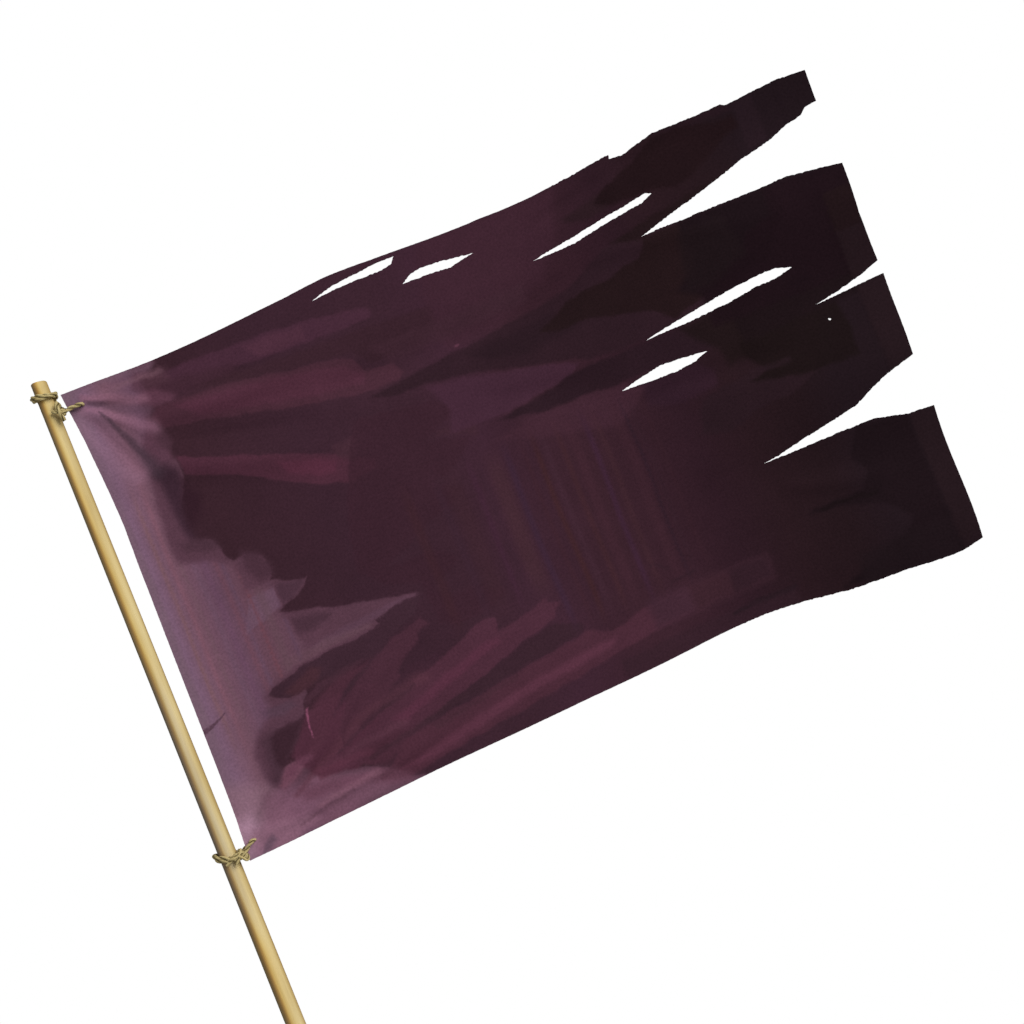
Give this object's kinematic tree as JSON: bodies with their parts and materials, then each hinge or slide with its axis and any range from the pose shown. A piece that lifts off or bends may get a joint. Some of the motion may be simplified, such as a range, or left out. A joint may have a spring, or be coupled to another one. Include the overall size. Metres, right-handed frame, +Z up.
{
  "type": "tattered flag tied to a wooden pole",
  "caption": "Torn dark cloth flag flying in shallow waves from a plain tapered wooden pole, held at both hoist corners by knotted rope ties.",
  "frame": {"origin": "centre of the pole's flat foot", "axes": "+Z up along the pole, +X from the pole towards the flag's fly, +Y behind the flag as it is seen from the front"},
  "size_m": [1.5101, 0.1962, 2.0079],
  "materials": {
    "pole_wood": "peeled pale wood, worn smooth, browner along its left side",
    "flag_cloth": "heavy plain-woven cloth, dull aubergine, bleached mauve at the hoist and sooty towards the fly, torn and frayed",
    "tie_rope": "twisted hemp rope, khaki, dirty in its lays"
  },
  "bodies": {
    "root": {"pole": "pole_wood", "flag": "flag_cloth", "tie_top": "tie_rope", "tie_bottom": "tie_rope"}
  },
  "joints": []
}
